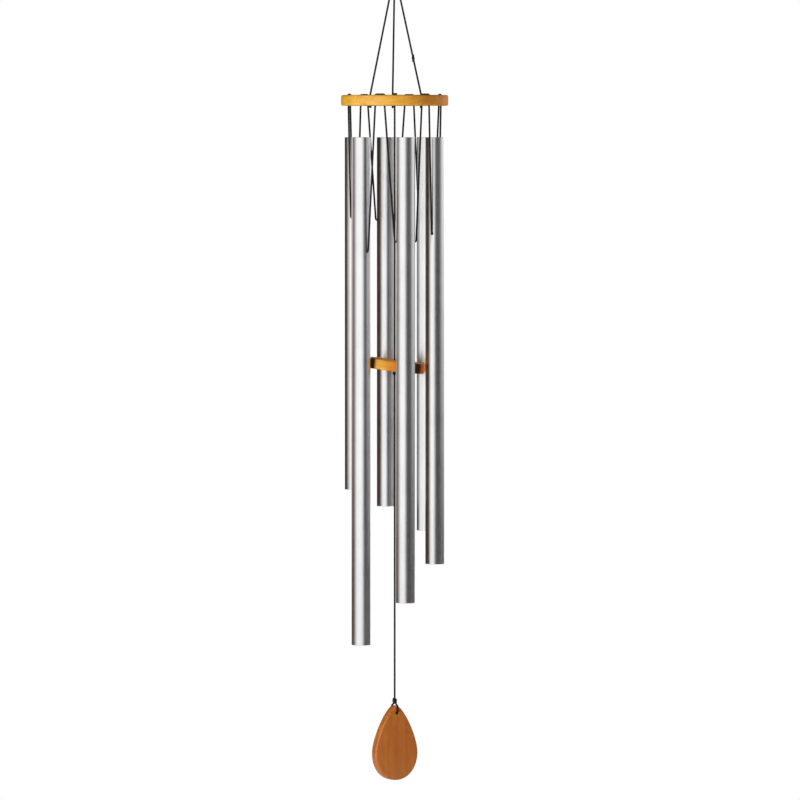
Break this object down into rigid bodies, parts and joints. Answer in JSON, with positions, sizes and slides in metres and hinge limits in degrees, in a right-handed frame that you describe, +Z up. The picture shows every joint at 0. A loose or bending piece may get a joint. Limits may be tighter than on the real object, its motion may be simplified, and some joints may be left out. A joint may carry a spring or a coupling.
{
  "type": "wind chime",
  "caption": "Hanging wind chime: a round wooden disc carries laced aluminium tubes of stepped lengths, with a round clapper and a teardrop wooden sail on the centre cord.",
  "frame": {"origin": "where a hook bears, at the top of the inside of the hanger ring", "axes": "+Z up; -Y the front, from which the two longest tubes are nearest; +X to the right seen from the front"},
  "size_m": [0.161, 0.161, 1.249],
  "materials": {
    "aluminium_tube": "satin anodised drawn tube",
    "steel_ring": "plain round wire, lightly polished",
    "amber_wood": "amber stained and clear sealed, satin",
    "sail_wood": "red-brown stained and clear sealed, satin",
    "black_cord": "round braided cord, matt"
  },
  "bodies": {
    "hanger": {"hanger_ring": "steel_ring"},
    "hanging_knot": {"hanging_knot": "black_cord"},
    "top_disc": {"top_disc": "amber_wood", "suspension_cord_right": "black_cord", "suspension_cord_back": "black_cord", "suspension_cord_left": "black_cord", "lacing_bridge_1": "black_cord", "lacing_bridge_2": "black_cord", "lacing_bridge_3": "black_cord", "lacing_bridge_4": "black_cord", "lacing_bridge_5": "black_cord", "lacing_bridge_6": "black_cord"},
    "tube_cord_1": {"tube_cord_1": "black_cord"},
    "tube_1": {"tube_1": "aluminium_tube"},
    "tube_cord_2": {"tube_cord_2": "black_cord"},
    "tube_2": {"tube_2": "aluminium_tube"},
    "tube_cord_3": {"tube_cord_3": "black_cord"},
    "tube_3": {"tube_3": "aluminium_tube"},
    "tube_cord_4": {"tube_cord_4": "black_cord"},
    "tube_4": {"tube_4": "aluminium_tube"},
    "tube_cord_5": {"tube_cord_5": "black_cord"},
    "tube_5": {"tube_5": "aluminium_tube"},
    "tube_cord_6": {"tube_cord_6": "black_cord"},
    "tube_6": {"tube_6": "aluminium_tube"},
    "centre_knot": {"centre_knot": "black_cord"},
    "clapper": {"clapper_cord": "black_cord", "clapper": "amber_wood"},
    "clapper_knot": {"clapper_knot": "black_cord"},
    "sail_cord": {"sail_cord": "black_cord"},
    "sail_loop": {"sail_loop": "black_cord"},
    "sail": {"sail": "sail_wood"}
  },
  "joints": [
    {"name": "ring_rock", "type": "hinge", "parent": "hanger", "child": "hanging_knot", "pos_m": [0, 0, -0.0255], "axis": [1, 0, 0], "range_deg": [-15, 15]},
    {"name": "disc_sway", "type": "hinge", "parent": "hanging_knot", "child": "top_disc", "pos_m": [0, 0, -0.03815], "axis": [0, -1, 0], "range_deg": [-15, 15]},
    {"name": "tube_cord_1_swing", "type": "hinge", "parent": "top_disc", "child": "tube_cord_1", "pos_m": [-0.04769, -0.04219, -0.2303], "axis": [-0.6626, 0.749, 0], "range_deg": [-0.5, 18]},
    {"name": "tube_1_rock", "type": "hinge", "parent": "tube_cord_1", "child": "tube_1", "pos_m": [-0.05034, -0.0392, -0.44796], "axis": [0.6626, -0.749, 0], "range_deg": [-10, 0.8]},
    {"name": "tube_cord_2_swing", "type": "hinge", "parent": "top_disc", "child": "tube_cord_2", "pos_m": [0.01269, -0.0624, -0.2303], "axis": [-0.9799, -0.1994, 0], "range_deg": [-0.5, 18]},
    {"name": "tube_2_rock", "type": "hinge", "parent": "tube_cord_2", "child": "tube_2", "pos_m": [0.01612, -0.0617, -0.4334], "axis": [-0.9799, -0.1994, 0], "range_deg": [-0.8, 10]},
    {"name": "tube_cord_3_swing", "type": "hinge", "parent": "top_disc", "child": "tube_cord_3", "pos_m": [0.06038, -0.0202, -0.2303], "axis": [-0.3173, -0.9483, 0], "range_deg": [-0.5, 18]},
    {"name": "tube_3_rock", "type": "hinge", "parent": "tube_cord_3", "child": "tube_3", "pos_m": [0.06038, -0.0202, -0.42097], "axis": [-0.3173, -0.9483, 0], "range_deg": [-0.8, 10]},
    {"name": "tube_cord_4_swing", "type": "hinge", "parent": "top_disc", "child": "tube_cord_4", "pos_m": [0.04769, 0.04219, -0.2303], "axis": [0.6626, -0.749, 0], "range_deg": [-0.5, 18]},
    {"name": "tube_4_rock", "type": "hinge", "parent": "tube_cord_4", "child": "tube_4", "pos_m": [0.04769, 0.04219, -0.41056], "axis": [-0.6626, 0.749, 0], "range_deg": [-10, 0.8]},
    {"name": "tube_cord_5_swing", "type": "hinge", "parent": "top_disc", "child": "tube_cord_5", "pos_m": [-0.01269, 0.0624, -0.2303], "axis": [-0.9799, -0.1994, 0], "range_deg": [-18, 0.5]},
    {"name": "tube_5_rock", "type": "hinge", "parent": "tube_cord_5", "child": "tube_5", "pos_m": [-0.01269, 0.0624, -0.4026], "axis": [-0.9799, -0.1994, 0], "range_deg": [-10, 0.8]},
    {"name": "tube_cord_6_swing", "type": "hinge", "parent": "top_disc", "child": "tube_cord_6", "pos_m": [-0.06038, 0.0202, -0.2303], "axis": [-0.3173, -0.9483, 0], "range_deg": [-18, 0.5]},
    {"name": "tube_6_rock", "type": "hinge", "parent": "tube_cord_6", "child": "tube_6", "pos_m": [-0.06086, 0.01878, -0.39633], "axis": [-0.3173, -0.9483, 0], "range_deg": [-10, 0.8]},
    {"name": "clapper_front_back", "type": "hinge", "parent": "top_disc", "child": "centre_knot", "pos_m": [0, 0, -0.2303], "axis": [-1, 0, 0], "range_deg": [-0.5, 0.5]},
    {"name": "clapper_side", "type": "hinge", "parent": "centre_knot", "child": "clapper", "pos_m": [0, 0, -0.2303], "axis": [0, -1, 0], "range_deg": [-0.5, 0.5]},
    {"name": "sail_cord_front_back", "type": "hinge", "parent": "clapper", "child": "clapper_knot", "pos_m": [0, 0, -0.63221], "axis": [-1, 0, 0], "range_deg": [-8, 8]},
    {"name": "sail_cord_side", "type": "hinge", "parent": "clapper_knot", "child": "sail_cord", "pos_m": [0, 0, -0.63221], "axis": [0, -1, 0], "range_deg": [-8, 8]},
    {"name": "sail_spin", "type": "hinge", "parent": "sail_cord", "child": "sail_loop", "pos_m": [0, 0, -1.1267], "axis": [0, 0, 1], "continuous": true},
    {"name": "sail_swing", "type": "hinge", "parent": "sail_loop", "child": "sail", "pos_m": [0, 0, -1.1433], "axis": [0.4848, -0.8746, 0], "range_deg": [-25, 25]}
  ]
}
